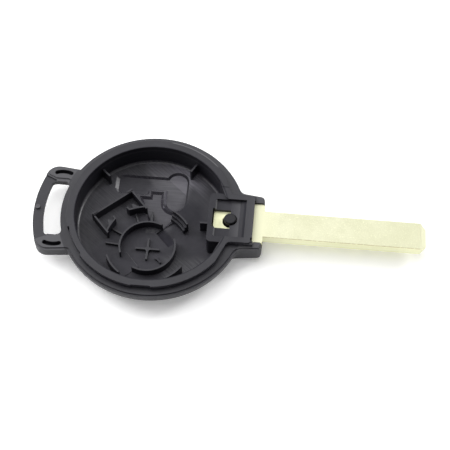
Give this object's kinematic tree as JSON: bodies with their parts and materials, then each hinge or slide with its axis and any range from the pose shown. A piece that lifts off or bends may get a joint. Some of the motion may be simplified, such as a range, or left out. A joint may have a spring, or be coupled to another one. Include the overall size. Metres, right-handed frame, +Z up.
{
  "type": "key fob shell",
  "caption": "Open rear half of a round remote-key shell with key-ring loop, moulded seats for cell, transponder and board, and an uncut blade locked by a pin.",
  "frame": {"origin": "centre of the round head, on the flat patch of the underside that the shell rests on", "axes": "+X along the blade towards its tip, +Y to the far side, +Z up out of the open side"},
  "size_m": [0.0975, 0.0458, 0.008],
  "materials": {
    "black_plastic": "black moulded plastic with a fine matt grain and faint tool marks on the floor",
    "blade_metal": "pale nickel-brass blank with a fine blasted face and sheared edges",
    "pin_metal": "blackened steel pin with a turned end"
  },
  "bodies": {
    "root": {"rear_housing": "black_plastic", "key_blade": "blade_metal", "locking_pin": "pin_metal"}
  },
  "joints": []
}
